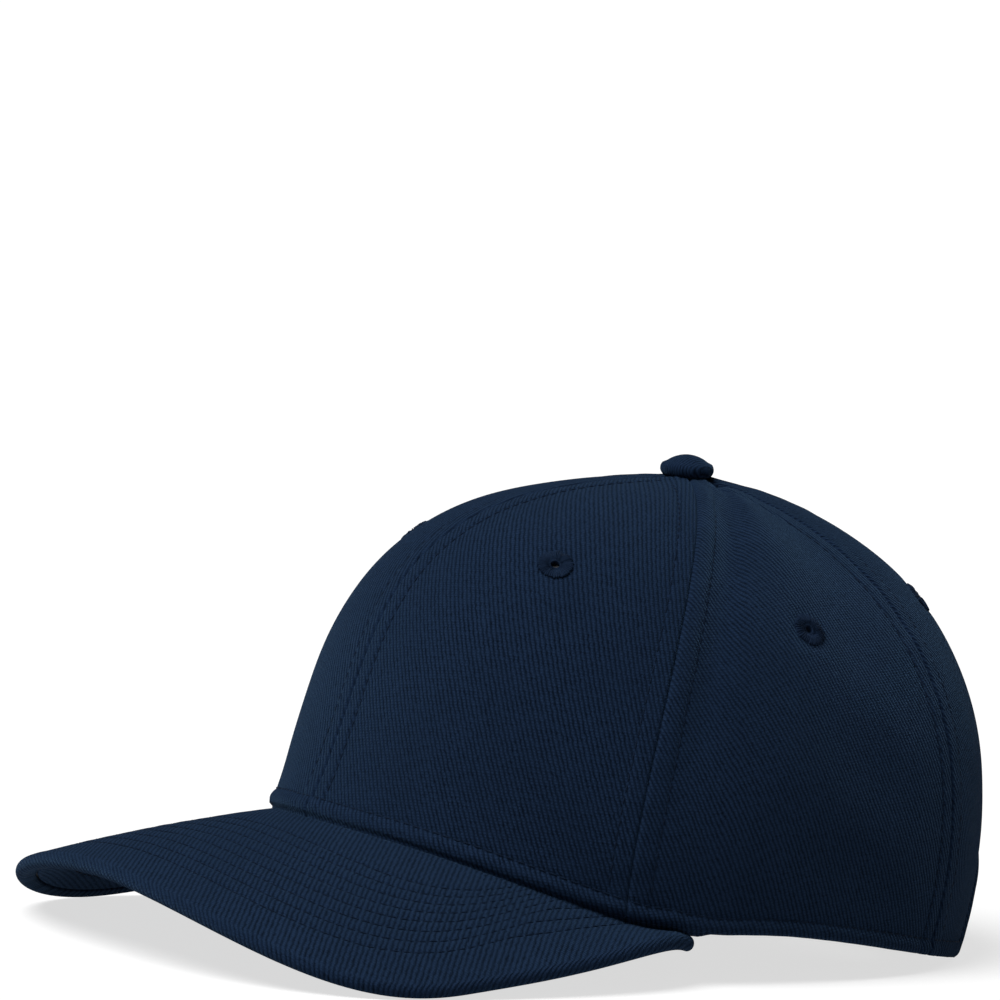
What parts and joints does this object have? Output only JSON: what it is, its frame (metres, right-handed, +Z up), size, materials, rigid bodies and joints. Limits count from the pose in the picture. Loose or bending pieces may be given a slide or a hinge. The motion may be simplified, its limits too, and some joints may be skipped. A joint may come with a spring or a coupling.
{
  "type": "baseball cap",
  "caption": "Cloth cap with a stiffened front, curved row-stitched visor, sewn eyelets, covered top button and a back strap that slides through a flip clasp.",
  "frame": {"origin": "below the middle of the head opening, on the table that the cap rests on", "axes": "+Z up, -Y to the front where the visor points, +X to the wearer's left"},
  "size_m": [0.1886, 0.2726, 0.1352],
  "materials": {
    "crown_cloth": "brushed twill, matt",
    "visor_cloth": "brushed twill, matt, row stitched",
    "visor_lining": "brushed twill, matt",
    "strap_cloth": "doubled twill, edge stitched",
    "binding_cloth": "folded twill",
    "buckram": "open stiffened weave",
    "seam_tape": "woven tape",
    "eyelet_thread": "satin-stitched thread",
    "button_steel": "pressed, plain",
    "visor_board": "smooth moulded board",
    "pad_foam": "soft open foam",
    "sweatband_cloth": "woven cotton band",
    "clasp_brass": "aged, satin",
    "label_cloth": "woven satin, blank"
  },
  "bodies": {
    "cap": {"front_panel_left": "crown_cloth", "front_panel_right": "crown_cloth", "side_panel_left": "crown_cloth", "side_panel_right": "crown_cloth", "back_panel_left": "crown_cloth", "back_panel_right": "crown_cloth", "front_buckram_left": "buckram", "front_buckram_right": "buckram", "front_seam_tape": "seam_tape", "front_left_seam_tape": "seam_tape", "front_right_seam_tape": "seam_tape", "back_left_seam_tape": "seam_tape", "back_right_seam_tape": "seam_tape", "back_seam_tape": "seam_tape", "front_eyelet_left": "eyelet_thread", "front_eyelet_right": "eyelet_thread", "side_eyelet_left": "eyelet_thread", "side_eyelet_right": "eyelet_thread", "back_eyelet_left": "eyelet_thread", "back_eyelet_right": "eyelet_thread", "button_cover": "crown_cloth", "button_core": "button_steel", "button_tack": "button_steel", "button_washer": "button_steel", "visor_top_cover": "visor_cloth", "visor_board": "visor_board", "visor_under_cover": "visor_lining", "forehead_pad": "pad_foam", "sweatband": "sweatband_cloth", "opening_binding": "binding_cloth", "clasp_loop": "strap_cloth", "clasp_frame": "clasp_brass", "clasp_pin": "clasp_brass", "care_label": "label_cloth"},
    "strap": {"strap": "strap_cloth"},
    "lever": {"clasp_lever": "clasp_brass"}
  },
  "joints": [
    {"name": "strap_adjust", "type": "hinge", "parent": "cap", "child": "strap", "pos_m": [0, 0.035, 0], "axis": [0, 0, 1], "range_deg": [-14, 14]},
    {"name": "clasp_lever", "type": "hinge", "parent": "cap", "child": "lever", "pos_m": [-0.02601, 0.10504, 0.01009], "axis": [-0.0457, 0.1496, 0.9877], "range_deg": [0, 100]}
  ]
}
